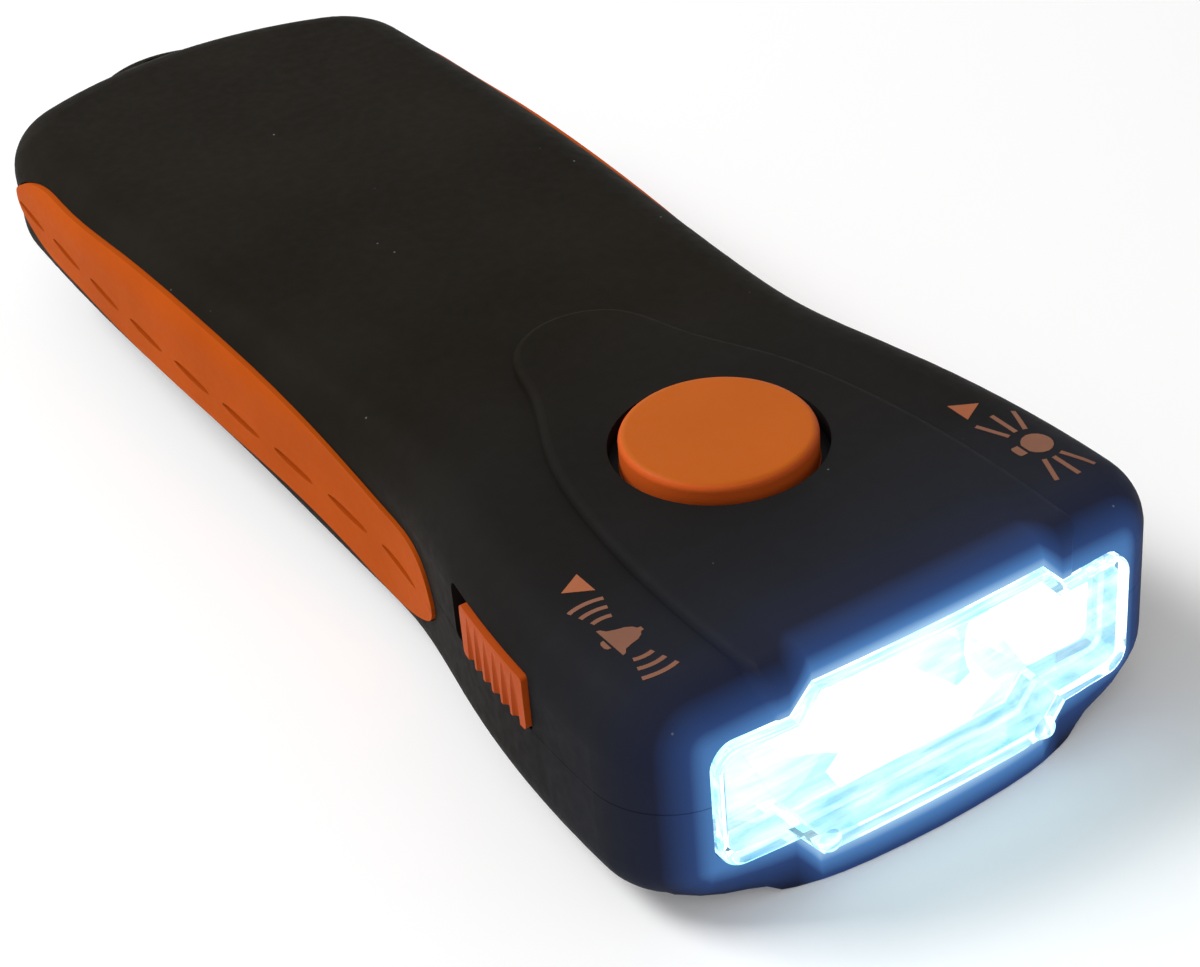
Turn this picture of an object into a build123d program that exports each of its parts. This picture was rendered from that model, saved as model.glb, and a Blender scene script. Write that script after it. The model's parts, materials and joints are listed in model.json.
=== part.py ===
"""Flat hand torch with a siren: three lamps behind a wide lens, two side sliders and one round button.

The lens looks along -Y, the strap eyelet is at +Y and +Z is up. The origin is at the middle of the
underside. All lengths are in millimetres.
"""
import os
from build123d import *

os.makedirs("parts", exist_ok=True)

# Body outline
overall_length = 162.8
lens_proud = 1.2
eyelet_reach = 7.2
head_width = 61.5
waist_width = 51.2
tail_width = 55.8
body_top = 24.4
head_base = 1.2
grip_base = 5.2
tail_base = 9.0
front_bow = 1.6
tail_bow = 7.8
front_corner_r = 8.5
tail_corner_r = 11.5
shoulder_r = 5.8
keel_r = 5.8
wall = 2.0
front_wall = 4.0
parting_z = 13.6
overrun = 5.0
fit_gap = 0.15
seat_gap = 0.3

# Raised panel on both faces of the head
panel_rise = 1.2
panel_width = 36.4
panel_reach = 30.0
panel_corner_r = 3.0
panel_crest_r = 0.9
panel_edge_r = 2.5

# Belly that holds the cells, under the grips
belly_width = 44.8
belly_corner_r = 7.0
belly_edge_r = 4.0
belly_lead = 12.0
belly_trail = 3.5

# Push button
button_back = 32.2
button_r = 9.7
button_gap = 1.1
button_proud = 1.4
button_travel = 1.2
button_flange = 1.2
button_flange_t = 1.2
button_edge_r = 0.8
collar_t = 1.2
collar_drop = 3.8
stem_r = 2.2
running_gap = 0.1

# Side sliders
slider_back = 26.4
slider_length = 13.4
slider_height = 5.8
slider_z = 16.7
slider_proud = 0.6
slider_travel = 3.0
slider_plate_t = 1.2
slider_plate_margin = 0.7
slider_plate_drop = 0.5
slider_plate_x = 25.2
slider_corner_r = 0.5
slot_gap = 0.25
rib_count = 7
rib_groove_r = 0.8
rib_groove_depth = 0.5
rib_groove_tilt = 5.0
side_samples = 400
lever_width = 2.0
lever_height = 1.6
lever_reach = 3.4
lever_edge_r = 0.1
fork_wall = 1.2
fork_lap = 1.7

# Grips
grip_depth = 1.2
grip_proud = 0.4
grip_head_back = 43.4
grip_tail_short = 12.8
grip_gap = 0.15
dash_count = 9
dash_pitch = 10.6
dash_length = 7.6
dash_width = 0.9
dash_depth = 0.35
dash_tilt = 6.0
dash_tail_short = 17.4

# Boards and their parts
board_t = 1.6
board_rise = 0.8
board_head_back = 20.6
board_length = 43.4
board_width = 44.0
board_corner = 3.0
post_r = 1.8
post_pin_r = 0.9
post_pin_proud = 0.6
post_inset = 3.2
post_x = 12.8
tact_width = 6.0
tact_height = 3.3
tact_plunger_r = 1.7
tact_plunger_height = 0.5
dome_base_r = 8.5
dome_top_r = 6.2
dome_wall = 0.8
switch_length = 9.0
switch_depth = 6.0
switch_height = 4.2
switch_outer_x = 20.4
chip_edge_r = 0.3
plate_corner_r = 1.0

# Lens, seal and reflector
lens_width = 47.2
lens_top = 19.9
lens_bottom = 6.4
lens_mid_top = 22.7
lens_mid_bottom = 3.3
lens_mid_width = 26.2
lens_step = 2.4
lens_bow = 1.7
lens_t = 1.6
lens_rim_t = 1.2
lens_corner_r = 2.4
lens_step_r = 1.0
lens_edge_r = 0.5
lens_flange = 1.0
lens_flange_t = 1.2
seal_t = 0.6
lens_pin_x = 12.6
lens_pin_z = 4.9
lens_pin_r = 1.3
lens_pin_reach = 0.6
reflector_depth = 12.2
reflector_taper = 12.0
reflector_gap = 0.4
reflector_rim = 0.7
cup_pitch = 15.2
cup_mouth_r = 7.6
led_r = 2.5
led_flange_r = 2.9
led_flange_t = 1.0
led_length = 8.6
led_board_margin = 1.2
led_board_side = 2.5
header_pin = 0.6
header_pitch = 2.54
header_count = 4
header_rise = 1.2
header_reach = 3.0
rib_t = 0.7
rib_width = 6.0

# Siren
siren_back = 47.6
siren_disc_r = 13.5
siren_disc_t = 0.5
siren_seat_z = 5.0
siren_holder_t = 3.0
siren_holder_wall = 1.6
siren_step = 1.2
siren_pin_r = 0.8
siren_pin_spread = 5.0
grille_count = 5
grille_slot = 1.6
grille_pitch = 3.6
grille_length = 18.0
grille_curve = 3.0

# Cells and their bay
cell_r = 5.25
cell_length = 44.5
cell_pitch = 11.0
cell_nub_r = 1.9
cell_nub = 1.0
cell_edge_r = 0.6
bay_side_gap = 0.55
bay_roof_gap = 0.4
bay_wall = 1.2
bay_tail_short = 20.4
contact_t = 0.5
contact_width = 8.0
contact_low = 4.6
contact_high = 11.6
spring_wire = 0.7
spring_wire_sides = 6
spring_length = 4.5
spring_turns = 3
spring_big_r = 3.0
spring_cone_angle = 14.0
spring_end_gap = 0.1
strip_t = 0.4
strip_width = 3.0
strip_x = 8.0
strip_lap = 3.0
strip_foot_z = 8.0

# Battery door
door_t = 1.6
door_sink = 0.15
door_side_margin = 1.6
door_end_margin = 3.0
door_corner_r = 3.0
door_gap = 0.25
ledge_t = 1.3
ledge_gap = 0.1
hook_x = 10.0
hook_width = 5.0
hook_finger = 1.4
hook_t = 1.15
hook_gap = 0.15
hook_room = 0.4
latch_width = 10.0
latch_slit = 0.8
latch_length = 7.0
latch_nib = 1.0
ridge_count = 4
ridge_pitch = 1.8
ridge_r = 0.45

# Screws
screw_r = 1.15
screw_head_r = 2.4
screw_head_t = 1.5
screw_head_z = 9.8
screw_tip_z = 20.0
screw_slot = 0.6
screw_tip_gap = 0.6
boss_r = 3.6
boss_top_r = 2.6
boss_bore_gap = 0.15
boss_head_gap = 0.2
head_screw_x = 25.8
head_screw_back = 12.4
tail_screw_x = 20.0
tail_screw_short = 10.8

# Strap eyelet
eyelet_r = 12.0
eyelet_t = 6.0
eyelet_hole_r = 2.6
eyelet_hole_out = 2.9
eyelet_edge_r = 1.4

# Shares that shape the outline between its named widths
head_side_shares = ((0.0, 0.93), (0.06, 1.0), (0.14, 0.92), (0.243, 0.53), (0.30, 0.21), (0.347, 0.02))
waist_share = 0.405
tail_side_shares = ((0.471, 0.19), (0.61, 0.71), (0.762, 1.0), (0.9, 0.86))
tail_end_share = 0.62
keel_head_share = 0.33
keel_grip_share = 0.57
tail_slope_share = 0.2
panel_side_shares = ((0.0, 0.98), (0.35, 1.0), (1.0, 0.9))
panel_arch_shares = ((0.33, 0.75), (0.66, 0.51), (0.9, 0.36))
grip_along_shares = (0.03, 0.10, 0.20, 0.33, 0.50, 0.70, 0.85, 0.955)
grip_top_shares = (0.655, 0.69, 0.765, 0.845, 0.888, 0.893, 0.876, 0.835)
grip_low_shares = (0.345, 0.262, 0.31, 0.385, 0.425, 0.47, 0.505, 0.565)
grip_nose_share = 0.51
grip_end_share = 0.70
dash_head_share = 0.48
dash_tail_share = 0.665
bevel_share = 0.59
cup_foot_share = 0.6
cup_mouth_share = 0.3
facing_down_share = 0.9

# Places that follow from the sizes above
lens_tip_y = -overall_length / 2 + lens_pin_reach
front_y = lens_tip_y + lens_proud
tail_y = overall_length / 2 - eyelet_reach
body_length = tail_y - front_y
waist_half = waist_width / 2
head_extra = (head_width - waist_width) / 2
tail_extra = (tail_width - waist_width) / 2
button_y = front_y + button_back
slider_y = front_y + slider_back
siren_y = front_y + siren_back
board_head_y = front_y + board_head_back
board_tail_y = board_head_y + board_length
grip_head_y = front_y + grip_head_back
grip_tail_y = tail_y - grip_tail_short
keel_head_y = front_y + keel_head_share * body_length
keel_grip_y = front_y + keel_grip_share * body_length
panel_top = body_top + panel_rise
cavity_top = panel_top - wall
board_z = parting_z + board_rise
board_top = board_z + board_t
front_inner_y = front_y + front_wall
lens_flange_y = front_inner_y + seal_t
reflector_y = lens_flange_y + lens_flange_t
led_board_y = reflector_y + reflector_depth
led_board_back_y = led_board_y + board_t
cup_z = (lens_top + lens_bottom) / 2
cup_places = (-cup_pitch, 0, cup_pitch)
cell_places = (-cell_pitch, 0, cell_pitch)
bay_half = cell_pitch + cell_r + bay_side_gap
cell_z = door_sink + door_t + seat_gap + cell_r
bay_roof_z = cell_z + cell_r + bay_roof_gap
bay_tail_y = tail_y - bay_tail_short
bay_head_y = bay_tail_y - contact_t - cell_length - spring_length - contact_t
door_half = bay_half + door_side_margin
door_head_y = bay_head_y - door_end_margin
door_tail_y = bay_tail_y + door_end_margin
door_top = door_sink + door_t
belly_head_y = door_head_y - belly_lead
belly_tail_y = door_tail_y + belly_trail
ledge_z = door_top + ledge_gap
grip_length = grip_tail_y - grip_head_y
post_rows = (board_head_y + post_inset, board_tail_y - post_inset)
post_places = [(x, y) for x in (-post_x, post_x) for y in post_rows]
screw_places = (
    (head_screw_x, front_y + head_screw_back),
    (-head_screw_x, front_y + head_screw_back),
    (tail_screw_x, tail_y - tail_screw_short),
    (-tail_screw_x, tail_y - tail_screw_short),
)


def side_points(inset):
    """Points down one side of the body, seen from above, moved in by inset."""
    first_y = front_y + front_bow + inset
    last_y = tail_y - tail_bow - inset
    run = last_y - first_y
    half = waist_half - inset
    points = [(half + head_extra * out, first_y + along * run) for along, out in head_side_shares]
    points.append((half, first_y + waist_share * run))
    points += [(half + tail_extra * out, first_y + along * run) for along, out in tail_side_shares]
    points.append((half + tail_extra * tail_end_share, last_y))
    return points


def ease(edges, radius, inset):
    """Rounds the edges of the outside. Those of the hollow inside get plain bevels that keep the wall."""
    if inset < wall:
        fillet(edges, radius - inset)
    else:
        chamfer(edges, bevel_share * (radius - inset))


def slab(inset, top, flat, top_r, low_r):
    """The body's main form, all its faces moved in by inset. Its underside is flat or follows the keel."""
    right = side_points(inset)
    left = [(-x, y) for x, y in reversed(right)]
    far_front = front_y - overrun
    far_tail = tail_y + overrun
    with BuildPart() as form:
        with BuildSketch(Plane.XY.offset(-overrun)) as plan:
            with BuildLine():
                Spline(*right)
                ThreePointArc(right[-1], (0, tail_y - inset), left[0])
                Spline(*left)
                ThreePointArc(left[-1], (0, front_y + inset), right[0])
            make_face()
            fillet(plan.vertices().group_by(Axis.Y)[-1], tail_corner_r - inset)
            fillet(plan.vertices().group_by(Axis.Y)[0], front_corner_r - inset)
        extrude(amount=top + 2 * overrun)
        with BuildSketch(Plane.YZ):
            with BuildLine():
                head_low = inset if flat else head_base + inset
                tail_low = inset if flat else tail_base + inset
                Line((far_front, head_low), (far_front, top - inset))
                Line((far_front, top - inset), (far_tail, top - inset))
                Line((far_tail, top - inset), (far_tail, tail_low))
                if flat:
                    Line((far_tail, tail_low), (far_front, head_low))
                else:
                    Spline(
                        (far_tail, tail_low),
                        (keel_grip_y, grip_base + inset),
                        (keel_head_y, head_low),
                        tangents=((-1, -tail_slope_share), (-1, 0)),
                    )
                    Line((keel_head_y, head_low), (far_front, head_low))
            make_face()
        extrude(amount=head_width, both=True, mode=Mode.INTERSECT)
        ease(form.faces().sort_by(Axis.Z)[-1].edges(), top_r, inset)
        under = form.faces().filter_by(lambda face: face.normal_at().Z < -facing_down_share)
        rim = ShapeList([edge for edge in under.edges() if sum(edge in face.edges() for face in under) == 1])
        ease(rim, low_r, inset)
    return form.part


def panel_plan(inset):
    """The arch-ended panel over the head, seen from above, moved in by inset."""
    half = panel_width / 2
    to_button = button_y - front_y
    side = [(half * out - inset, front_y + along * to_button) for along, out in panel_side_shares]
    arch = [(half * out - inset, button_y + along * panel_reach) for along, out in panel_arch_shares]
    right = side + arch
    left = [(-x, y) for x, y in reversed(right)]
    with BuildSketch() as plan:
        with BuildLine():
            Spline(*right, (0, button_y + panel_reach - inset), *left)
            Line(left[-1], right[0])
        make_face()
        fillet(plan.vertices(), panel_corner_r)
    return plan.sketch


def belly(inset):
    """The raised belly under the grips that makes room for the cells, all its faces moved in by inset."""
    with BuildPart() as block:
        with BuildSketch(Plane.XY.offset(inset)):
            with Locations((0, (belly_head_y + belly_tail_y) / 2)):
                RectangleRounded(
                    belly_width - 2 * inset,
                    belly_tail_y - belly_head_y - 2 * inset,
                    belly_corner_r - inset,
                )
        extrude(amount=parting_z - 2 * inset)
        ease(block.edges().group_by(Axis.Z)[0], belly_edge_r, inset)
    return block.part


def envelope(inset):
    """The whole outside, or with an inset the whole inside, with the panels on both faces of the head."""
    with BuildPart() as panels:
        with BuildSketch(Plane.XY.offset(inset)):
            add(panel_plan(inset))
        extrude(amount=panel_top - 2 * inset)
        if inset < wall:
            crests = panels.edges().group_by(Axis.Z)
            fillet(crests[0] + crests[-1], panel_crest_r)
        add(slab(inset, panel_top, True, panel_edge_r, panel_edge_r), mode=Mode.INTERSECT)
    with BuildPart() as form:
        add(slab(inset, body_top, False, shoulder_r, keel_r))
        add(panels.part)
        add(belly(inset))
    return form.part


def lens_outline(grow):
    """The stepped outline of the lens, seen from the front, grown all round."""
    half = lens_width / 2 + grow
    mid = lens_mid_width / 2 + grow / 2
    foot = mid + lens_step
    with BuildSketch(Plane.XZ) as face:
        with BuildLine():
            Polyline(
                (-mid, lens_mid_top + grow),
                (mid, lens_mid_top + grow),
                (foot, lens_top + grow),
                (half, lens_top + grow),
                (half, lens_bottom - grow),
                (foot, lens_bottom - grow),
                (mid, lens_mid_bottom - grow),
                (-mid, lens_mid_bottom - grow),
                (-foot, lens_bottom - grow),
                (-half, lens_bottom - grow),
                (-half, lens_top + grow),
                (-foot, lens_top + grow),
                (-mid, lens_mid_top + grow),
            )
        make_face()
        ends = face.vertices().filter_by(lambda point: abs(point.X) > half - lens_step)
        steps = face.vertices().filter_by(lambda point: abs(point.X) < half - lens_step)
        fillet(ends, lens_corner_r + grow)
        fillet(steps, lens_step_r)
    return face.sketch


def lens_block(grow, near_y, far_y):
    """The lens outline as a block between two places along Y."""
    with BuildPart() as block:
        with BuildSketch(Plane.XZ.offset(-near_y)):
            add(lens_outline(grow))
        extrude(amount=near_y - far_y)
    return block.part


outer_form = envelope(0)
inner_form = envelope(wall)

with BuildPart() as cavity:
    add(inner_form)
    with Locations((0, front_inner_y - overrun, body_top / 2)):
        Box(
            head_width,
            2 * overrun,
            body_top + 2 * overrun,
            mode=Mode.SUBTRACT,
        )

with BuildPart() as casing:
    add(outer_form)
    add(cavity.part, mode=Mode.SUBTRACT)
    add(lens_block(fit_gap, front_y - overrun, front_inner_y + overrun), mode=Mode.SUBTRACT)
    add(lens_block(lens_flange + fit_gap, front_inner_y, reflector_y), mode=Mode.SUBTRACT)


# Grips: leaf-shaped rubber inlays, and the shallow beds that hold them
def leaf_prism(grow):
    """Both leaf shapes, seen from the side, run right across the body."""
    places = [grip_head_y + along * grip_length for along in grip_along_shares]
    top = [(y, up * body_top + grow) for y, up in zip(places, grip_top_shares)]
    low = [(y, up * body_top - grow) for y, up in zip(places, grip_low_shares)]
    nose = (grip_head_y - grow, grip_nose_share * body_top)
    end = (grip_tail_y + grow, grip_end_share * body_top)
    with BuildPart() as prism:
        with BuildSketch(Plane.YZ):
            with BuildLine():
                Spline(nose, *top, end, *reversed(low), periodic=True)
            make_face()
        extrude(amount=head_width, both=True)
    return prism.part


grip_core = slab(grip_depth, body_top, False, shoulder_r, keel_r)

with BuildPart() as grip_beds:
    add(leaf_prism(grip_gap))
    add(grip_core, mode=Mode.SUBTRACT)

with BuildPart() as grip_dashes:
    dash_tail_y = tail_y - dash_tail_short
    with BuildSketch(Plane.YZ):
        for step in range(dash_count):
            rise = dash_tail_share + (dash_head_share - dash_tail_share) * step / (dash_count - 1)
            with Locations((dash_tail_y - step * dash_pitch, rise * body_top)):
                Ellipse(dash_length / 2, dash_width / 2, rotation=dash_tilt)
    extrude(amount=head_width, both=True)
    add(slab(dash_depth - grip_proud, body_top, False, shoulder_r, keel_r), mode=Mode.SUBTRACT)

with BuildPart() as grip_ring:
    add(slab(-grip_proud, body_top, False, shoulder_r, keel_r))
    add(leaf_prism(0), mode=Mode.INTERSECT)
    add(grip_core, mode=Mode.SUBTRACT)
    add(grip_dashes.part, mode=Mode.SUBTRACT)

with BuildPart() as right_grip:
    add(grip_ring.part.solids().sort_by(Axis.X)[-1])

with BuildPart() as left_grip:
    add(grip_ring.part.solids().sort_by(Axis.X)[0])


# Side slider slots, as long as the knob and its travel
slot_y = slider_y + slider_travel / 2

with BuildPart() as slider_slots:
    with BuildSketch(Plane.YZ):
        with Locations((slot_y, slider_z)):
            RectangleRounded(
                slider_length + slider_travel + 2 * slot_gap,
                slider_height + 2 * slot_gap,
                slider_corner_r + slot_gap,
            )
    extrude(amount=head_width, both=True)


# Top shell
with BuildPart() as eyelet:
    with BuildSketch(Plane.XY.offset(parting_z)):
        with Locations((0, tail_y + eyelet_reach - eyelet_r)):
            Circle(eyelet_r)
    extrude(amount=eyelet_t)
    fillet(eyelet.edges().filter_by(GeomType.CIRCLE), eyelet_edge_r)
    with Locations((0, tail_y + eyelet_hole_out, parting_z + eyelet_t)):
        Hole(eyelet_hole_r)

with BuildPart() as top_fittings:
    with BuildSketch(Plane.XY.offset(cavity_top - collar_drop)):
        with Locations((0, button_y)):
            Circle(button_r + button_gap + button_flange + running_gap + collar_t)
            Circle(button_r + button_gap + button_flange + running_gap, mode=Mode.SUBTRACT)
    extrude(amount=collar_drop + fit_gap)
    with BuildSketch(Plane.XY.offset(parting_z)):
        with Locations(*screw_places):
            Circle(boss_top_r)
    extrude(amount=body_top - wall - parting_z + fit_gap)

with BuildPart() as top_shell:
    add(casing.part)
    add(grip_beds.part, mode=Mode.SUBTRACT)
    add(eyelet.part)
    add(cavity.part, mode=Mode.SUBTRACT)
    add(top_fittings.part)
    add(slider_slots.part, mode=Mode.SUBTRACT)
    split(bisect_by=Plane.XY.offset(parting_z), keep=Keep.TOP)
    with Locations((0, button_y, panel_top)):
        Hole(button_r + button_gap, depth=2 * wall)
    with Locations(*[Location((x, y, parting_z), (180, 0, 0)) for x, y in screw_places]):
        Hole(screw_r + running_gap, depth=screw_tip_z + screw_tip_gap - parting_z)


# Bottom shell
bay_centre_y = (bay_head_y + bay_tail_y) / 2
bay_length = bay_tail_y - bay_head_y
door_centre_y = (door_head_y + door_tail_y) / 2
door_length = door_tail_y - door_head_y

with BuildPart() as bottom_fittings:
    with BuildSketch(Plane.XY.offset(ledge_z)):
        with Locations((0, bay_centre_y)):
            Rectangle(2 * (bay_half + bay_wall), bay_length + 2 * bay_wall)
    extrude(amount=bay_roof_z + bay_wall - ledge_z)
    with BuildSketch(Plane.XY.offset(ledge_z)):
        with Locations((0, door_centre_y)):
            Rectangle(2 * (door_half + ledge_t), door_length + 2 * ledge_t)
    extrude(amount=ledge_t)
    with BuildSketch(Plane.XY):
        with Locations(*screw_places):
            Circle(boss_r)
    extrude(amount=parting_z)
    with BuildSketch(Plane.XY):
        with Locations(*post_places):
            Circle(post_r)
    extrude(amount=board_z)
    with BuildSketch(Plane.XY):
        with Locations(*post_places):
            Circle(post_pin_r)
    extrude(amount=board_top + post_pin_proud)
    with BuildSketch(Plane.XY):
        with Locations((0, siren_y)):
            Circle(siren_disc_r + siren_holder_wall)
            Circle(siren_disc_r - siren_step, mode=Mode.SUBTRACT)
    extrude(amount=siren_seat_z)
    with BuildSketch(Plane.XY):
        for x in (-1, 1):
            with Locations((x * cup_pitch / 2, led_board_back_y + rib_t / 2)):
                Rectangle(rib_width, rib_t)
    extrude(amount=cup_z)
    add(outer_form, mode=Mode.INTERSECT)

with BuildPart() as bottom_shell:
    add(casing.part)
    add(grip_beds.part, mode=Mode.SUBTRACT)
    split(bisect_by=Plane.XY.offset(parting_z), keep=Keep.BOTTOM)
    add(bottom_fittings.part)
    with BuildSketch(Plane.XY):
        with Locations((0, bay_centre_y)):
            Rectangle(2 * bay_half, bay_length)
    extrude(amount=bay_roof_z, mode=Mode.SUBTRACT)
    with BuildSketch(Plane.XY):
        with Locations((0, door_centre_y)):
            RectangleRounded(2 * (door_half + door_gap), door_length + 2 * door_gap, door_corner_r + door_gap)
        with Locations((0, door_tail_y + latch_nib / 2)):
            Rectangle(latch_width + 2 * door_gap, latch_nib + 2 * door_gap)
    extrude(amount=ledge_z, mode=Mode.SUBTRACT)
    for x in (-hook_x, hook_x):
        with Locations((x, door_head_y + (hook_t + hook_room) / 2, ledge_z + (ledge_t + hook_room) / 2)):
            Box(
                hook_width + 2 * hook_room,
                door_end_margin + hook_t + 2 * hook_finger + hook_room,
                ledge_t + hook_t + hook_room,
                mode=Mode.SUBTRACT,
            )
    with Locations(*screw_places):
        Hole(screw_r + boss_bore_gap, depth=2 * parting_z)
    with BuildSketch(Plane.XY):
        with Locations(*screw_places):
            Circle(screw_head_r + boss_head_gap)
    extrude(amount=screw_head_z + screw_head_t, mode=Mode.SUBTRACT)
    with BuildSketch(Plane.XY):
        for step in range(grille_count):
            place = step - (grille_count - 1) / 2
            with Locations((place * grille_pitch, siren_y)):
                SlotOverall(grille_length - grille_curve * abs(place), grille_slot, rotation=90)
    extrude(amount=siren_seat_z, mode=Mode.SUBTRACT)


# Push button: a flat cap with a hidden flange and a stem that reaches for the switch
flange_top = cavity_top - running_gap / 2
tact_top = board_top + tact_height + tact_plunger_height
stem_end = tact_top + button_travel + running_gap / 2

with BuildPart() as push_button:
    with BuildSketch(Plane.XY.offset(flange_top - button_flange_t)):
        with Locations((0, button_y)):
            Circle(button_r + button_gap + button_flange)
    extrude(amount=button_flange_t)
    with BuildSketch(Plane.XY.offset(flange_top)):
        with Locations((0, button_y)):
            Circle(button_r)
    extrude(amount=panel_top + button_proud - flange_top)
    fillet(push_button.edges().filter_by(GeomType.CIRCLE).group_by(Axis.Z)[-1], button_edge_r)
    with BuildSketch(Plane.XY.offset(stem_end)):
        with Locations((0, button_y)):
            Circle(stem_r)
    extrude(amount=flange_top - stem_end)

dome_top = flange_top - button_flange_t

with BuildPart() as button_dome:
    with BuildSketch(Plane.XZ.offset(-button_y)):
        with BuildLine():
            Polyline(
                (dome_base_r, board_top),
                (dome_base_r, board_top + dome_wall),
                (dome_top_r, dome_top),
                (dome_top_r - dome_wall, dome_top),
                (dome_base_r - dome_wall, board_top + dome_wall),
                (dome_base_r - dome_wall, board_top),
                close=True,
            )
        make_face()
    revolve(axis=Axis((0, button_y, 0), (0, 0, 1)))

with BuildPart() as tact_switch:
    with BuildSketch(Plane.XY.offset(board_top)):
        with Locations((0, button_y)):
            Rectangle(tact_width, tact_width)
    extrude(amount=tact_height)
    fillet(tact_switch.edges().filter_by(Axis.Z), chip_edge_r)
    with BuildSketch(Plane.XY.offset(board_top + tact_height)):
        with Locations((0, button_y)):
            Circle(tact_plunger_r)
    extrude(amount=tact_plunger_height)


# Side sliders and the switches they work
rib_pitch = slider_length / rib_count
groove_out = rib_groove_r - rib_groove_depth / 2
knob_form = slab(-slider_proud, body_top, False, shoulder_r, keel_r)

with BuildLine() as knob_line:
    Spline(*side_points(-slider_proud))
slider_plate_high = slider_z + slider_height / 2 - slider_plate_drop
slider_plate_low = slider_z - slider_height / 2 - slider_plate_margin
plate_length = slider_length + slider_travel + 2 * slot_gap + 2 * slider_plate_margin
lever_z = board_top + switch_height / 2
lever_tip_x = switch_outer_x + lever_reach


def side_x(y):
    """How far out the knobs' faces stand at a place along the side."""
    samples = [knob_line.line @ (step / side_samples) for step in range(side_samples + 1)]
    return min(samples, key=lambda point: abs(point.Y - y)).X


def slider(rest_y):
    """A ribbed knob on the right-hand side, its plate behind the wall and the fork round the lever."""
    with BuildPart() as knob:
        with BuildSketch(Plane.YZ.offset(slider_plate_x)):
            with Locations((rest_y, slider_z)):
                RectangleRounded(slider_length, slider_height, slider_corner_r)
        extrude(amount=head_width)
        add(knob_form, mode=Mode.INTERSECT)
        for step in range(1, rib_count):
            groove_y = rest_y + (step - rib_count / 2) * rib_pitch
            with Locations((side_x(groove_y) + groove_out, groove_y, slider_z)):
                Cylinder(
                    rib_groove_r,
                    2 * slider_height,
                    rotation=(0, rib_groove_tilt, 0),
                    mode=Mode.SUBTRACT,
                )
        with BuildSketch(Plane.YZ.offset(slider_plate_x - slider_plate_t)):
            with Locations((rest_y, (slider_plate_low + slider_plate_high) / 2)):
                RectangleRounded(plate_length, slider_plate_high - slider_plate_low, slider_corner_r)
        extrude(amount=slider_plate_t)
        with BuildSketch(Plane.YZ.offset(slider_plate_x - slider_plate_t)):
            with Locations((rest_y, lever_z)):
                Rectangle(lever_width + 2 * running_gap + 2 * fork_wall, lever_height)
                Rectangle(lever_width + 2 * running_gap, lever_height, mode=Mode.SUBTRACT)
        extrude(amount=-(slider_plate_x - slider_plate_t - lever_tip_x + fork_lap))
    return knob.part


def side_switch():
    """The body of a slide switch on the right-hand edge of the board, open where its lever runs."""
    with BuildPart() as body:
        with Locations((switch_outer_x - switch_depth / 2, slot_y, board_top + switch_height / 2)):
            Box(switch_depth, switch_length, switch_height)
        fillet(body.edges().filter_by(Axis.Z), chip_edge_r)
        with Locations((switch_outer_x, slot_y, lever_z)):
            Box(
                switch_depth,
                slider_travel + lever_width + 2 * running_gap,
                lever_height + 2 * running_gap,
                mode=Mode.SUBTRACT,
            )
    return body.part


def side_lever(rest_y):
    """The lever that stands out of a slide switch, with its root inside."""
    root_x = switch_outer_x - switch_depth / 2 + running_gap
    with BuildPart() as lever:
        with Locations(((root_x + lever_tip_x) / 2 - running_gap, rest_y, lever_z)):
            Box(lever_tip_x - root_x - 2 * running_gap, lever_width, lever_height)
        fillet(lever.edges().filter_by(Axis.X), lever_edge_r)
    return lever.part


torch_y = slider_y + slider_travel

with BuildPart() as torch_slider:
    add(slider(torch_y))

with BuildPart() as torch_switch:
    add(side_switch())

with BuildPart() as torch_lever:
    add(side_lever(torch_y))

with BuildPart() as alarm_slider:
    add(mirror(slider(slider_y), about=Plane.YZ))

with BuildPart() as alarm_switch:
    add(mirror(side_switch(), about=Plane.YZ))

with BuildPart() as alarm_lever:
    add(mirror(side_lever(slider_y), about=Plane.YZ))


# Boards
with BuildPart() as main_board:
    with BuildSketch(Plane.XY.offset(board_z)):
        with Locations((0, (board_head_y + board_tail_y) / 2)):
            RectangleRounded(board_width, board_length, board_corner)
        with Locations(*post_places):
            Circle(post_pin_r + running_gap, mode=Mode.SUBTRACT)
    extrude(amount=board_t)

led_board_low = cup_z - cup_mouth_r + led_board_margin
led_board_high = cup_z + cup_mouth_r - led_board_margin

with BuildPart() as led_board:
    with BuildSketch(Plane.XZ.offset(-led_board_back_y)):
        with Locations((0, (led_board_low + led_board_high) / 2)):
            RectangleRounded(
                2 * (cup_pitch + led_flange_r + led_board_side),
                led_board_high - led_board_low,
                plate_corner_r,
            )
    extrude(amount=board_t)


def led(x):
    """A round lamp standing forward from its board: flange, barrel and domed tip."""
    with BuildPart() as lamp:
        with BuildSketch(Plane.XZ.offset(-led_board_y)):
            with Locations((x, cup_z)):
                Circle(led_flange_r)
        extrude(amount=led_flange_t)
        with BuildSketch(Plane.XZ.offset(-led_board_y)):
            with Locations((x, cup_z)):
                Circle(led_r)
        extrude(amount=led_length - led_r)
        with Locations((x, led_board_y - led_length + led_r, cup_z)):
            Sphere(led_r)
    return lamp.part


with BuildPart() as led_left:
    add(led(-cup_pitch))

with BuildPart() as led_centre:
    add(led(0))

with BuildPart() as led_right:
    add(led(cup_pitch))

header_z = board_top + header_rise

with BuildPart() as led_pins:
    for step in range(header_count):
        pin_x = (step - (header_count - 1) / 2) * header_pitch
        with Locations((pin_x, led_board_back_y + header_reach / 2, header_z)):
            Box(header_pin, header_reach, header_pin)
        with Locations((pin_x, led_board_back_y + header_reach - header_pin / 2, (board_top + header_z) / 2)):
            Box(header_pin, header_pin, header_z - board_top)


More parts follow.
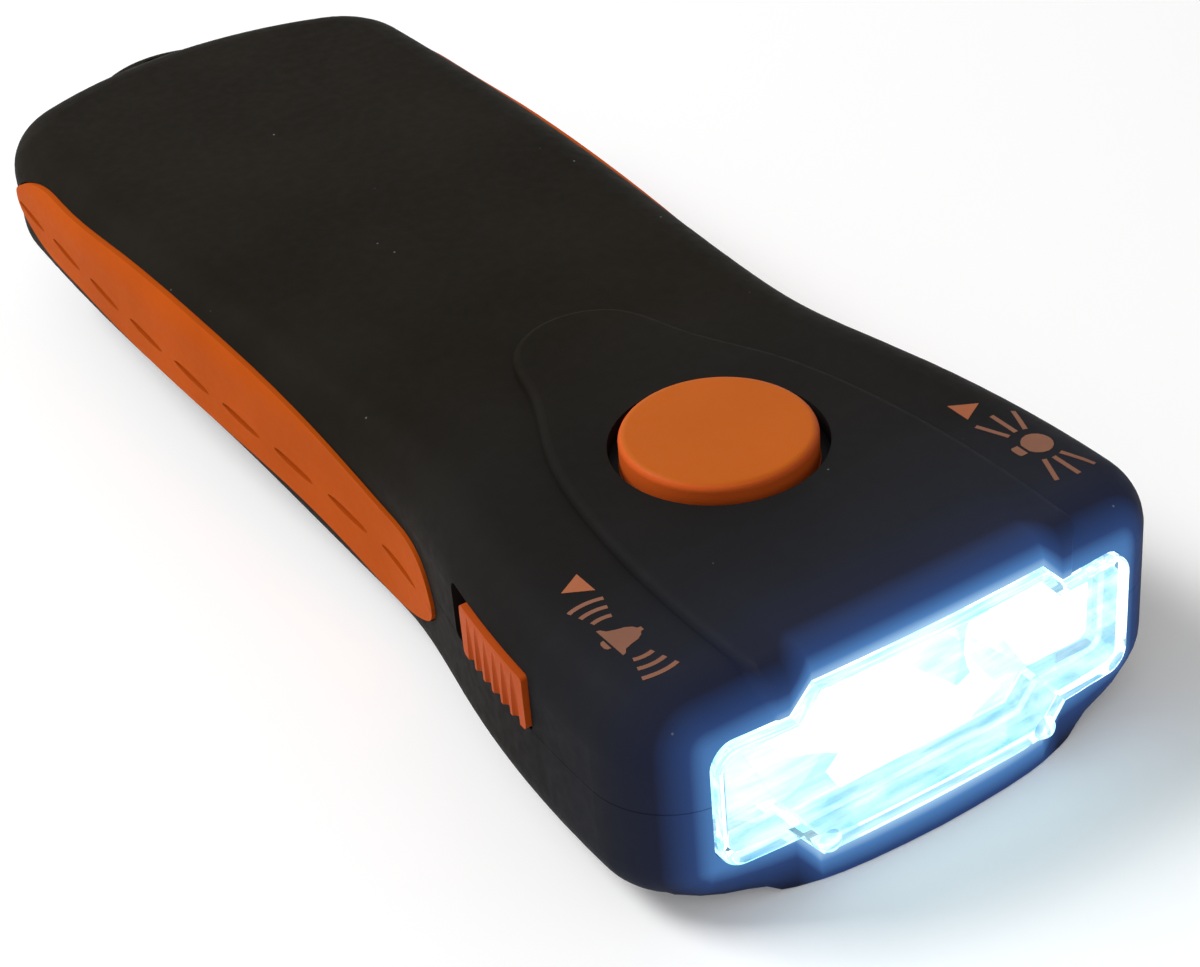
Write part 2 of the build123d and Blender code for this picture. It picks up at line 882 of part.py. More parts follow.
# Reflector: a tapered block with three bright cups, open to the lens
with BuildPart() as reflector:
    with BuildSketch(Plane.XZ.offset(-reflector_y)):
        add(lens_outline(-reflector_gap))
    extrude(amount=-reflector_depth, taper=reflector_taper)

with BuildPart() as cups:
    for x in cup_places:
        with BuildSketch(Plane.XY.offset(cup_z)):
            with BuildLine():
                cup_back = led_board_y - led_flange_t - reflector_rim
                cup_front = reflector_y - reflector_rim
                Spline(
                    (x + led_r + running_gap, cup_back),
                    (x + cup_mouth_r, cup_front),
                    tangents=((1, -cup_foot_share), (cup_mouth_share, -1)),
                )
                Polyline(
                    (x + cup_mouth_r, cup_front),
                    (x, cup_front),
                    (x, cup_back),
                    (x + led_r + running_gap, cup_back),
                )
            make_face()
        revolve(axis=Axis((x, 0, cup_z), (0, 1, 0)))
    with BuildSketch(Plane.XZ.offset(-reflector_y)):
        add(lens_outline(-reflector_gap - reflector_rim))
    extrude(amount=-reflector_depth, taper=reflector_taper, mode=Mode.INTERSECT)

with BuildPart() as reflector_body:
    add(reflector.part)
    add(cups.part, mode=Mode.SUBTRACT)
    for x in cup_places:
        with BuildSketch(Plane.XZ.offset(-led_board_y)):
            with Locations((x, cup_z)):
                Circle(led_r + running_gap)
        extrude(amount=reflector_depth / 2, mode=Mode.SUBTRACT)
        with BuildSketch(Plane.XZ.offset(-led_board_y)):
            with Locations((x, cup_z)):
                Circle(led_flange_r + running_gap)
        extrude(amount=led_flange_t + running_gap, mode=Mode.SUBTRACT)


# Lens: a bowed clear cap with a thin rim, a flange behind the wall and two small round pins
lens_half = lens_width / 2


def bowed_front(back_by, reach):
    """Everything behind the lens's bowed front face, moved back, seen from above."""
    side = lens_half + reach
    with BuildPart() as bow:
        with BuildSketch(Plane.XY):
            with BuildLine():
                ThreePointArc(
                    (-side, lens_tip_y + lens_bow + back_by),
                    (0, lens_tip_y + back_by),
                    (side, lens_tip_y + lens_bow + back_by),
                )
                Polyline(
                    (side, lens_tip_y + lens_bow + back_by),
                    (side, reflector_y),
                    (-side, reflector_y),
                    (-side, lens_tip_y + lens_bow + back_by),
                )
            make_face()
        extrude(amount=panel_top)
    return bow.part


with BuildPart() as lens:
    add(lens_block(0, lens_tip_y - overrun, lens_flange_y))
    add(bowed_front(0, overrun), mode=Mode.INTERSECT)
    fillet(lens.faces().sort_by(Axis.Y)[0].edges(), lens_edge_r)
    add(lens_block(lens_flange, lens_flange_y, reflector_y))
    pin_centre_y = lens_tip_y - lens_pin_reach + lens_pin_r
    with BuildSketch(Plane.XZ.offset(-pin_centre_y)):
        with Locations((-lens_pin_x, lens_pin_z), (lens_pin_x, lens_pin_z)):
            Circle(lens_pin_r)
    extrude(amount=pin_centre_y - lens_flange_y)
    with Locations((-lens_pin_x, pin_centre_y, lens_pin_z), (lens_pin_x, pin_centre_y, lens_pin_z)):
        Sphere(lens_pin_r)

with BuildPart() as lens_hollow:
    add(lens_block(-lens_rim_t, lens_tip_y - overrun, reflector_y + overrun))
    add(bowed_front(lens_t, overrun), mode=Mode.INTERSECT)

with BuildPart() as lens_seal:
    add(lens_block(lens_flange, front_inner_y, lens_flange_y))
    add(lens_block(fit_gap, front_inner_y - overrun, lens_flange_y + overrun), mode=Mode.SUBTRACT)


# Siren
disc_z = siren_seat_z + siren_holder_t / 2

with BuildPart() as siren_holder:
    with BuildSketch(Plane.XY.offset(siren_seat_z)):
        with Locations((0, siren_y)):
            Circle(siren_disc_r + siren_holder_wall)
            Circle(siren_disc_r - siren_step, mode=Mode.SUBTRACT)
    extrude(amount=siren_holder_t)
    with BuildSketch(Plane.XY.offset(disc_z)):
        with Locations((0, siren_y)):
            Circle(siren_disc_r + running_gap)
    extrude(amount=siren_holder_t, mode=Mode.SUBTRACT)

with BuildPart() as siren_disc:
    with BuildSketch(Plane.XY.offset(disc_z)):
        with Locations((0, siren_y)):
            Circle(siren_disc_r)
    extrude(amount=siren_disc_t)

with BuildPart() as siren_pins:
    with BuildSketch(Plane.XY.offset(disc_z + siren_disc_t)):
        with Locations((-siren_pin_spread, siren_y), (siren_pin_spread, siren_y)):
            Circle(siren_pin_r)
    extrude(amount=board_z - disc_z - siren_disc_t)


# Cells, their contacts and the strips to the board
cell_back_y = bay_tail_y - contact_t
cell_head_y = cell_back_y - cell_length


def cell(x):
    """One cell: a round can with its raised terminal at the tail end."""
    with BuildPart() as can:
        with BuildSketch(Plane.XZ.offset(-(cell_back_y - cell_nub))):
            with Locations((x, cell_z)):
                Circle(cell_r)
        extrude(amount=cell_length - cell_nub)
        fillet(can.edges().filter_by(GeomType.CIRCLE), cell_edge_r)
        with BuildSketch(Plane.XZ.offset(-cell_back_y)):
            with Locations((x, cell_z)):
                Circle(cell_nub_r)
        extrude(amount=2 * cell_nub)
    return can.part


with BuildPart() as cell_left:
    add(cell(-cell_pitch))

with BuildPart() as cell_centre:
    add(cell(0))

with BuildPart() as cell_right:
    add(cell(cell_pitch))

with BuildPart() as contact_plates:
    with BuildSketch(Plane.XZ.offset(-bay_tail_y)):
        for x in cell_places:
            with Locations((x, (contact_low + contact_high) / 2)):
                RectangleRounded(contact_width, contact_high - contact_low, plate_corner_r)
    extrude(amount=contact_t)

coil_height = spring_length - spring_wire - 2 * spring_end_gap
coil_start_y = bay_head_y + contact_t + spring_wire / 2 + spring_end_gap


def coil(x):
    """One wound contact spring, narrowing from its plate towards the cell."""
    with BuildPart() as spring:
        with BuildLine() as wire:
            Helix(
                pitch=coil_height / spring_turns,
                height=coil_height,
                radius=spring_big_r,
                center=(x, coil_start_y, cell_z),
                direction=(0, 1, 0),
                cone_angle=-spring_cone_angle,
            )
        with BuildSketch(Plane(origin=wire.line @ 0, z_dir=wire.line % 0)):
            RegularPolygon(spring_wire / 2, spring_wire_sides)
        sweep()
    return spring.part


with BuildPart() as contact_springs:
    with BuildSketch(Plane.XZ.offset(-(bay_head_y + contact_t))):
        for x in cell_places:
            with Locations((x, (contact_low + contact_high) / 2)):
                RectangleRounded(contact_width, contact_high - contact_low, plate_corner_r)
    extrude(amount=contact_t)
    for x in cell_places:
        add(coil(x))

with BuildPart() as battery_strips:
    for x in (-strip_x, strip_x):
        leg_y = bay_head_y - bay_wall - strip_t / 2
        with Locations((x, leg_y, (strip_foot_z + board_top + strip_t) / 2)):
            Box(strip_width, strip_t, board_top + strip_t - strip_foot_z)
        with Locations((x, (leg_y + board_tail_y - strip_lap) / 2, board_top + strip_t / 2)):
            Box(strip_width, leg_y - board_tail_y + strip_lap, strip_t)


# Battery door: two hooks at the head end, a sprung tongue with a nib at the tail end
with BuildPart() as battery_door:
    with BuildSketch(Plane.XY.offset(door_sink)):
        with Locations((0, door_centre_y)):
            RectangleRounded(2 * door_half, door_length, door_corner_r)
        with Locations((0, door_tail_y)):
            Rectangle(latch_width, 2 * latch_nib)
    extrude(amount=door_t)
    with BuildSketch(Plane.XY.offset(door_sink)):
        for x in (-1, 1):
            with Locations((x * (latch_width + latch_slit) / 2, door_tail_y - latch_length / 2)):
                Rectangle(latch_slit, latch_length)
    extrude(amount=door_t, mode=Mode.SUBTRACT)
    for step in range(ridge_count):
        ridge_y = door_tail_y - latch_length / 2 + (step - (ridge_count - 1) / 2) * ridge_pitch
        with Locations((0, ridge_y, door_sink)):
            Cylinder(
                ridge_r,
                latch_width - 2 * latch_slit,
                rotation=(0, 90, 0),
                mode=Mode.SUBTRACT,
            )
    for x in (-hook_x, hook_x):
        with Locations((x, door_head_y + hook_t, door_top + (ledge_t + hook_gap) / 2)):
            Box(hook_width, hook_t, ledge_t + hook_gap)
        with Locations((x, door_head_y + hook_t / 2 - hook_finger / 2, door_top + hook_gap + ledge_t / 2)):
            Box(hook_width, hook_t + hook_finger, ledge_t)


# Screws
with BuildPart() as housing_screws:
    with BuildSketch(Plane.XY.offset(screw_head_z)):
        with Locations(*screw_places):
            Circle(screw_head_r)
    extrude(amount=screw_head_t)
    with BuildSketch(Plane.XY.offset(screw_head_z)):
        with Locations(*screw_places):
            Circle(screw_r)
    extrude(amount=screw_tip_z - screw_head_z)
    with BuildSketch(Plane.XY.offset(screw_head_z)):
        with Locations(*screw_places):
            Rectangle(2 * screw_r, screw_slot)
            Rectangle(screw_slot, 2 * screw_r)
    extrude(amount=screw_head_t / 2, mode=Mode.SUBTRACT)

with BuildPart() as lens_cap:
    add(lens.part)
    add(lens_hollow.part, mode=Mode.SUBTRACT)

pieces = {
    "top_shell": top_shell,
    "bottom_shell": bottom_shell,
    "left_grip": left_grip,
    "right_grip": right_grip,
    "push_button": push_button,
    "button_dome": button_dome,
    "tact_switch": tact_switch,
    "alarm_slider": alarm_slider,
    "alarm_lever": alarm_lever,
    "alarm_switch": alarm_switch,
    "torch_slider": torch_slider,
    "torch_lever": torch_lever,
    "torch_switch": torch_switch,
    "main_board": main_board,
    "led_board": led_board,
    "led_left": led_left,
    "led_centre": led_centre,
    "led_right": led_right,
    "led_pins": led_pins,
    "reflector": reflector_body,
    "lens": lens_cap,
    "lens_seal": lens_seal,
    "siren_holder": siren_holder,
    "siren_disc": siren_disc,
    "siren_pins": siren_pins,
    "battery_door": battery_door,
    "cell_left": cell_left,
    "cell_centre": cell_centre,
    "cell_right": cell_right,
    "contact_plates": contact_plates,
    "contact_springs": contact_springs,
    "battery_strips": battery_strips,
    "housing_screws": housing_screws,
}

for name, piece in pieces.items():
    piece.part.label = name
    export_step(piece.part, "parts/" + name + ".step")
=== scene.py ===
"""Looks of a flat hand torch with a siren: soft-touch housing, rubber grips, lit lens and printed signs.

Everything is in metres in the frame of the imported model: the lens looks along -Y, the strap eyelet is at
+Y and +Z is up through the push button.
"""
import json
import math

import bpy
from mathutils import Matrix, Vector


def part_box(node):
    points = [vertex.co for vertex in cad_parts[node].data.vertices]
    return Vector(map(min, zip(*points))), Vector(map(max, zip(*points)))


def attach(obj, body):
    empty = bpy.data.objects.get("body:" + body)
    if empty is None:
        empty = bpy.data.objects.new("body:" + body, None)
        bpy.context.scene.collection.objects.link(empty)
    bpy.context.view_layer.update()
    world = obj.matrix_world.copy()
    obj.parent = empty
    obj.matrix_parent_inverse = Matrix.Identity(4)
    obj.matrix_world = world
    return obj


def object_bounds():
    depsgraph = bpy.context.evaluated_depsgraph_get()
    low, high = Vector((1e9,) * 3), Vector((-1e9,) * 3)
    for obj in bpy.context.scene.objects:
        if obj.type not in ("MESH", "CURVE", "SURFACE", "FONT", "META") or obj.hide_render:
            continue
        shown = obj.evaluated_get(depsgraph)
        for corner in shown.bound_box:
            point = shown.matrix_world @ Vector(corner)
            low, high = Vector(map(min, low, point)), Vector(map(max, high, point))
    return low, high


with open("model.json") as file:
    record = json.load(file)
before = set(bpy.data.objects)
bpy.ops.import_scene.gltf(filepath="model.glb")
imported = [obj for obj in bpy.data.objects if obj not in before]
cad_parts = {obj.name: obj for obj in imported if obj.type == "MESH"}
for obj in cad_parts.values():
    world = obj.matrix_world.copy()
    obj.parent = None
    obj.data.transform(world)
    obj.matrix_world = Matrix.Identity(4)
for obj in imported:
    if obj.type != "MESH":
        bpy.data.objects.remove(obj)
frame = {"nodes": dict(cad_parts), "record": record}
cad_low, cad_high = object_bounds()
nodes = frame["nodes"]

MM = 0.001
same_place = 0.001 * MM

# Camera, solved from the photograph
camera_place = Vector((-0.12149, -0.22908, 0.17222))
camera_azimuth = math.radians(-30.70)
camera_elevation = math.radians(34.57)
camera_roll = math.radians(-5.05)
focal_pixels = 2739.9
image_width = 1200
sensor_width = 36.0
clip_near = 0.01
clip_far = 20.0

# Light: an even sky, a key lamp behind the left side and a weak fill lamp before it
sky_level = 0.33
key_place = (-0.69, 0.66, 1.05)
key_size = 0.60
key_power = 16.5
fill_place = (-0.40, -0.60, 0.60)
fill_size = 0.60
fill_power = 1.1
floor_size = 6.0
floor_lift = 0.11

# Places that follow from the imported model
shell_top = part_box("top_shell")[1].z
button_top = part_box("push_button")[1].z
lens_low, lens_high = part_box("lens")

# Facets that meet at less than these angles are shaded as one surface
node_smooth_angle = math.radians(28)
lip_smooth_angle = math.radians(40)

# The lens's stepped outline seen from the front: between the two places along X its top steps down and its
# foot steps up, each from the first height to the second
lens_flange = 1.0 * MM
lens_step_x = (13.1 * MM, 15.5 * MM)
lens_top_z = (22.7 * MM, 19.9 * MM)
lens_foot_z = (3.3 * MM, 6.4 * MM)
lens_half = lens_high.x - lens_flange
lens_face_y = lens_low.y + 1.2 * MM

# Light painted on the housing from the lens: how far its glow spills, and where the coat begins to take its
# painted cool tint
glow_reach = 24.0 * MM
painted_tint_start_y = -20.0 * MM

# The seam between the two half shells, along which a thin line of shade is painted
seam_z = 13.6 * MM
seam_half = 0.05 * MM

# Dashes pressed along the grips, painted darker as the shade in their grooves
dash_count = 9
dash_pitch = 10.6 * MM
dash_tail_y = 56.8 * MM
dash_tail_z = 16.2 * MM
dash_head_z = 11.7 * MM
dash_half_length = 3.8 * MM
dash_half_width = 0.5 * MM
dash_slope = math.tan(math.radians(6.0))
dash_edge = (0.75, 1.25)

# Button: its side is painted as lit from this far below the face, and outside the face's radius its collar is
# painted black as shade
painted_lit_side_depth = 0.1 * MM
button_y = -47.4 * MM
button_face_r = 9.75 * MM

# Two colours that meet on one piece change over about this width
colour_edge = 0.05 * MM

# Sliders: the knob is orange, and the plate behind the wall, further in than this, is black
knob_root_x = 25.4 * MM

# Patterns in the finishes: features per metre, and the noise values between which they change
patch_scale = 70.0
patch_span = (0.35, 0.65)
gloss_scale = 900.0
gloss_span = (0.3, 0.7)
relief_depth = 0.1 * MM

# Printed signs beside the sliders
sign_near_x = 21.4 * MM
sign_height = 4.3 * MM
sign_middle_y = -65.7 * MM
pointer_base_x = 21.65 * MM
pointer_y = -56.9 * MM
pointer_r = 1.78 * MM
stroke = 0.48 * MM
arc_steps = 14
print_cuts = 2
print_lift = 0.02 * MM
print_thickness = 0.04 * MM
print_clearance = 2.0 * MM

# The bell and its clapper, and the lamp and its cap: height and half width from the foot up
bell_outline = (
    (0.75 * MM, 2.15 * MM),
    (1.10 * MM, 2.05 * MM),
    (1.45 * MM, 1.55 * MM),
    (2.30 * MM, 1.25 * MM),
    (3.10 * MM, 1.05 * MM),
    (3.65 * MM, 0.70 * MM),
    (3.90 * MM, 0.30 * MM),
    (4.25 * MM, 0.25 * MM),
)
clapper_outline = (
    (0.00 * MM, 0.30 * MM),
    (0.20 * MM, 0.60 * MM),
    (0.50 * MM, 0.65 * MM),
)
globe_outline = (
    (1.25 * MM, 0.62 * MM),
    (1.60 * MM, 1.15 * MM),
    (2.10 * MM, 1.52 * MM),
    (2.70 * MM, 1.68 * MM),
    (3.30 * MM, 1.52 * MM),
    (3.80 * MM, 1.15 * MM),
    (4.15 * MM, 0.62 * MM),
    (4.25 * MM, 0.20 * MM),
)
cap_outline = (
    (0.00 * MM, 0.45 * MM),
    (0.15 * MM, 0.78 * MM),
    (0.90 * MM, 0.78 * MM),
)
sound_middle = 2.1 * MM
sound_radii = (3.4 * MM, 4.75 * MM, 6.1 * MM)
sound_sweep = 0.62
ray_middle = 2.4 * MM
ray_start = 2.7 * MM
ray_end = 6.3 * MM
ray_fan = (0.0, 0.38, -0.38)

# The full lip below the lens, from the middle outwards and in millimetres. Each row is a section: its X, the
# depth of its back, then depth and height at its foot, low on its front, halfway up and at its top
lip_stations = (
    (0.0, -76.5, (-80.95, 0.10), (-80.75, 1.0), (-80.30, 2.0), (-79.72, 3.15)),
    (4.0, -76.5, (-80.85, 0.10), (-80.65, 1.0), (-80.22, 2.0), (-79.68, 3.15)),
    (8.0, -76.5, (-80.62, 0.10), (-80.45, 1.0), (-80.07, 2.0), (-79.60, 3.15)),
    (11.0, -76.5, (-80.30, 0.10), (-80.15, 1.0), (-79.85, 2.0), (-79.48, 3.15)),
    (13.0, -76.5, (-79.95, 0.10), (-79.87, 1.0), (-79.68, 2.0), (-79.42, 3.15)),
    (15.7, -76.5, (-79.25, 0.12), (-79.32, 1.3), (-79.32, 3.0), (-79.24, 6.25)),
    (17.0, -76.3, (-78.90, 0.30), (-79.10, 1.6), (-79.15, 3.4), (-79.10, 6.25)),
    (18.4, -74.5, (-78.60, 1.25), (-78.90, 2.4), (-79.00, 4.0), (-78.97, 6.25)),
    (20.0, -72.8, (-77.80, 1.25), (-78.45, 2.5), (-78.78, 4.2), (-78.86, 6.25)),
    (22.0, -72.8, (-77.05, 1.30), (-78.00, 2.6), (-78.50, 4.3), (-78.71, 6.25)),
    (24.0, -72.8, (-76.10, 1.50), (-77.35, 2.7), (-78.12, 4.3), (-78.47, 6.25)),
    (26.0, -72.8, (-75.00, 2.00), (-76.40, 3.1), (-77.24, 4.5), (-77.79, 6.25)),
    (27.5, -72.8, (-74.20, 2.90), (-75.00, 3.4), (-76.15, 4.5), (-76.80, 6.10)),
    (28.4, -72.8, (-74.20, 4.20), (-74.60, 4.6), (-75.00, 5.2), (-75.40, 5.80)),
)


# Selecting and joining
def deselect():
    """Leaves nothing selected, so that the next operator acts on its own piece alone."""
    bpy.ops.object.select_all(action="DESELECT")


def activate(piece):
    """Makes one object the selected and active one."""
    deselect()
    piece.select_set(True)
    bpy.context.view_layer.objects.active = piece


def settle(piece):
    """Puts a piece's place, turn and size into its mesh."""
    activate(piece)
    bpy.ops.object.transform_apply(location=True, rotation=True, scale=True)


def join(name, pieces):
    """Joins several pieces into one and names it."""
    activate(pieces[0])
    for piece in pieces[1:]:
        piece.select_set(True)
    bpy.ops.object.join()
    whole = bpy.context.object
    whole.name = name
    return whole


# Finishes
def rgb(red, green, blue):
    """A linear colour from screen values of 0 to 255, by the sRGB curve."""
    def linear(level):
        share = level / 255
        return share / 12.92 if share <= 0.04045 else ((share + 0.055) / 1.055) ** 2.4
    return (linear(red), linear(green), linear(blue), 1.0)


class Shader:
    """A node material that is built step by step."""

    def __init__(self, name):
        self.material = bpy.data.materials.new(name)
        self.material.use_nodes = True
        self.tree = self.material.node_tree
        self.surface = self.tree.nodes["Principled BSDF"]
        self.output = self.tree.nodes["Material Output"]
        coordinate = self.tree.nodes.new("ShaderNodeTexCoord")
        self.place = coordinate.outputs["Object"]
        self.parts = self.tree.nodes.new("ShaderNodeSeparateXYZ")
        self.link(self.place, self.parts.inputs["Vector"])

    def link(self, source, target):
        """Joins an output to an input."""
        self.tree.links.new(source, target)

    def value(self, socket, number):
        """Sets a socket of the main shader to a constant."""
        self.surface.inputs[socket].default_value = number

    def axis(self, name):
        """One coordinate of the place on the piece."""
        return self.parts.outputs[name]

    def stretched(self, stretch):
        """The place on the piece, drawn out along an axis for patterns with a direction."""
        if stretch is None:
            return self.place
        node = self.tree.nodes.new("ShaderNodeMapping")
        node.inputs["Scale"].default_value = stretch
        self.link(self.place, node.inputs["Vector"])
        return node.outputs["Vector"]

    def noise(self, scale, detail=2.0, rough=0.5, stretch=None):
        """Fractal noise over the surface, scale in features per metre."""
        node = self.tree.nodes.new("ShaderNodeTexNoise")
        node.inputs["Scale"].default_value = scale
        node.inputs["Detail"].default_value = detail
        node.inputs["Roughness"].default_value = rough
        self.link(self.stretched(stretch), node.inputs["Vector"])
        return node.outputs["Fac"]

    def cells(self, scale, output="Distance", stretch=None):
        """Scattered cells over the surface: the distance to their middles, or their own colours."""
        node = self.tree.nodes.new("ShaderNodeTexVoronoi")
        node.inputs["Scale"].default_value = scale
        self.link(self.stretched(stretch), node.inputs["Vector"])
        return node.outputs[output]

    def ramp(self, source, low, high, first=0.0, last=1.0):
        """Maps a value range to another, held at both ends."""
        node = self.tree.nodes.new("ShaderNodeMapRange")
        self.link(source, node.inputs["Value"])
        node.inputs["From Min"].default_value = low
        node.inputs["From Max"].default_value = high
        node.inputs["To Min"].default_value = first
        node.inputs["To Max"].default_value = last
        return node.outputs["Result"]

    def patches(self, scale=patch_scale):
        """A share that changes in soft patches."""
        return self.ramp(self.noise(scale, 3.0), *patch_span)

    def tones(self, source, stops):
        """A row of colours along a value of 0 to 1."""
        node = self.tree.nodes.new("ShaderNodeValToRGB")
        row = node.color_ramp.elements
        while len(row) < len(stops):
            row.new(1.0)
        for element, (position, tone) in zip(row, stops):
            element.position = position
            element.color = tone
        self.link(source, node.inputs["Fac"])
        return node.outputs["Color"]

    def math(self, operation, first, second=None):
        """One sum with one or two values, each a socket or a number."""
        node = self.tree.nodes.new("ShaderNodeMath")
        node.operation = operation
        for socket, item in zip(node.inputs, (first, second)):
            if item is None:
                continue
            if isinstance(item, (int, float)):
                socket.default_value = item
            else:
                self.link(item, socket)
        return node.outputs["Value"]

    def square(self, source):
        """A value times itself."""
        return self.math("MULTIPLY", source, source)

    def above_zero(self, source):
        """A value, or zero where it is less."""
        return self.math("MAXIMUM", source, 0.0)

    def mix(self, share, first, second):
        """Blends two colours, each a socket or a colour."""
        node = self.tree.nodes.new("ShaderNodeMix")
        node.data_type = "RGBA"
        self.link(share, node.inputs["Factor"])
        for name, item in (("A", first), ("B", second)):
            socket = [plug for plug in node.inputs if plug.name == name and plug.type == "RGBA"][0]
            if isinstance(item, tuple):
                socket.default_value = item
            else:
                self.link(item, socket)
        return [plug for plug in node.outputs if plug.type == "RGBA"][0]

    def colour(self, source):
        """The surface's own colour."""
        self.link(source, self.surface.inputs["Base Color"])

    def shine(self, source, strength):
        """Light that the surface gives off itself."""
        self.link(source, self.surface.inputs["Emission Color"])
        self.value("Emission Strength", strength)

    def roughness(self, source):
        """How dull the surface is, from a value of 0 to 1."""
        self.link(source, self.surface.inputs["Roughness"])

    def gloss(self, low, high, scale=gloss_scale):
        """A slightly uneven roughness between two values."""
        self.roughness(self.ramp(self.noise(scale), *gloss_span, low, high))

    def relief(self, height, strength, depth=relief_depth):
        """Fine relief from a height value."""
        node = self.tree.nodes.new("ShaderNodeBump")
        node.inputs["Strength"].default_value = strength
        node.inputs["Distance"].default_value = depth
        self.link(height, node.inputs["Height"])
        self.link(node.outputs["Normal"], self.surface.inputs["Normal"])


def moulded(name, base, shade, roughness, grain, strength):
    """A moulded plastic or rubber: two close tones, fine grain and a slightly uneven gloss."""
    shader = Shader(name)
    shader.colour(shader.mix(shader.patches(), base, shade))
    shader.gloss(roughness - 0.05, roughness + 0.05)
    shader.relief(shader.noise(grain, 2.0, 0.6), strength)
    return shader


def plain(*looks):
    """A moulded finish with nothing more to it."""
    return moulded(*looks).material


def metal(name, tone, shade, roughness):
    """Thin sheet, plating or steel with faint drawing marks."""
    shader = Shader(name)
    shader.colour(shader.mix(shader.noise(600.0, 3.0), tone, shade))
    shader.gloss(roughness - 0.07, roughness + 0.07, 2400.0)
    shader.relief(shader.noise(3000.0), 0.1, 0.03 * MM)
    shader.value("Metallic", 1.0)
    return shader.material


def lens_distance(shader):
    """How far a place on the housing is from the edge of the lit lens."""
    out = shader.math("ABSOLUTE", shader.axis("X"))
    high = shader.axis("Z")
    above = shader.math("SUBTRACT", high, shader.ramp(out, *lens_step_x, *lens_top_z))
    below = shader.math("SUBTRACT", shader.ramp(out, *lens_step_x, *lens_foot_z), high)
    up = shader.above_zero(shader.math("MAXIMUM", above, below))
    side = shader.above_zero(shader.math("SUBTRACT", out, lens_half))
    back = shader.above_zero(shader.math("SUBTRACT", shader.axis("Y"), lens_face_y))
    face = shader.math("ADD", shader.square(up), shader.square(side))
    return shader.math("SQRT", shader.math("ADD", face, shader.square(back)))


def lens_spill(shader):
    """The lamp's blue light on the housing, white at the lens's edge."""
    share = shader.ramp(lens_distance(shader), 0.0, glow_reach)
    return shader.tones(share, (
        (0.0, rgb(232, 246, 255)),
        (0.025, rgb(165, 208, 246)),
        (0.06, rgb(74, 124, 184)),
        (0.12, rgb(36, 62, 112)),
        (0.25, rgb(14, 21, 44)),
        (0.5, rgb(11, 16, 25)),
        (1.0, rgb(0, 0, 0)),
    ))


def soft_touch():
    """Near-black soft-touch coat: warm at the tail, with a painted cool tint and a painted glow of the lens's
    light towards the lens, specks of dust and painted shade along the seam.
    """
    shader = Shader("soft_touch_black")
    # Painted light: towards the lens the coat takes on a cool tint from the lamp's light
    painted_cool_light = shader.ramp(shader.axis("Y"), painted_tint_start_y, lens_face_y)
    patches = shader.patches(45.0)
    warm_tone = shader.mix(patches, rgb(26, 23, 18), rgb(31, 28, 23))
    painted_lens_light_tone = shader.mix(patches, rgb(29, 28, 29), rgb(33, 33, 36))
    coat = shader.mix(painted_cool_light, warm_tone, painted_lens_light_tone)
    specks = shader.ramp(shader.cells(420.0), 0.035, 0.06, 1.0, 0.0)
    rare = shader.ramp(shader.noise(160.0, 1.0), 0.60, 0.66)
    dusty = shader.mix(shader.math("MULTIPLY", specks, rare), coat, rgb(120, 120, 122))
    # Painted shade: a thin dark line along the seam where the two shells meet
    off_seam = shader.math("ABSOLUTE", shader.math("SUBTRACT", shader.axis("Z"), seam_z))
    seam_shade = shader.ramp(off_seam, seam_half, 2 * seam_half, 1.0, 0.0)
    shader.colour(shader.mix(seam_shade, dusty, rgb(14, 13, 12)))
    shader.gloss(0.50, 0.62, 700.0)
    shader.relief(shader.noise(5200.0, 2.0, 0.7), 0.2, 0.06 * MM)
    shader.value("Specular IOR Level", 0.015)
    unlit = shader.math("MULTIPLY", seam_shade, 0.35)
    # Painted light: the lens's glow is spilt over the housing as emission, dimmed on the painted seam shade
    shader.shine(shader.mix(unlit, lens_spill(shader), rgb(0, 0, 0)), 1.0)
    return shader.material


def grip_rubber():
    """Orange rubber with a row of dashes pressed into it, painted darker as the shade in them."""
    shader = Shader("grip_rubber")
    rubber = shader.mix(shader.patches(), rgb(183, 79, 14), rgb(174, 74, 12))
    from_tail = shader.math("SUBTRACT", dash_tail_y, shader.axis("Y"))
    step = shader.math("DIVIDE", from_tail, dash_pitch)
    nearest = shader.math("ROUND", step)
    along = shader.math("MULTIPLY", shader.math("SUBTRACT", nearest, step), dash_pitch)
    fall = (dash_tail_z - dash_head_z) / (dash_count - 1)
    middle = shader.math("SUBTRACT", dash_tail_z, shader.math("MULTIPLY", nearest, fall))
    line = shader.math("ADD", middle, shader.math("MULTIPLY", along, dash_slope))
    across = shader.math("SUBTRACT", shader.axis("Z"), line)
    far = shader.square(shader.math("DIVIDE", along, dash_half_length))
    wide = shader.square(shader.math("DIVIDE", across, dash_half_width))
    # Painted shade: the dashes are darkened where shade falls in their grooves
    groove_shade = shader.ramp(shader.math("ADD", far, wide), *dash_edge, 1.0, 0.0)
    shader.colour(shader.mix(groove_shade, rubber, rgb(166, 70, 14)))
    shader.gloss(0.58, 0.68)
    shader.relief(shader.noise(4200.0, 2.0, 0.6), 0.3)
    shader.value("Specular IOR Level", 0.03)
    return shader.material


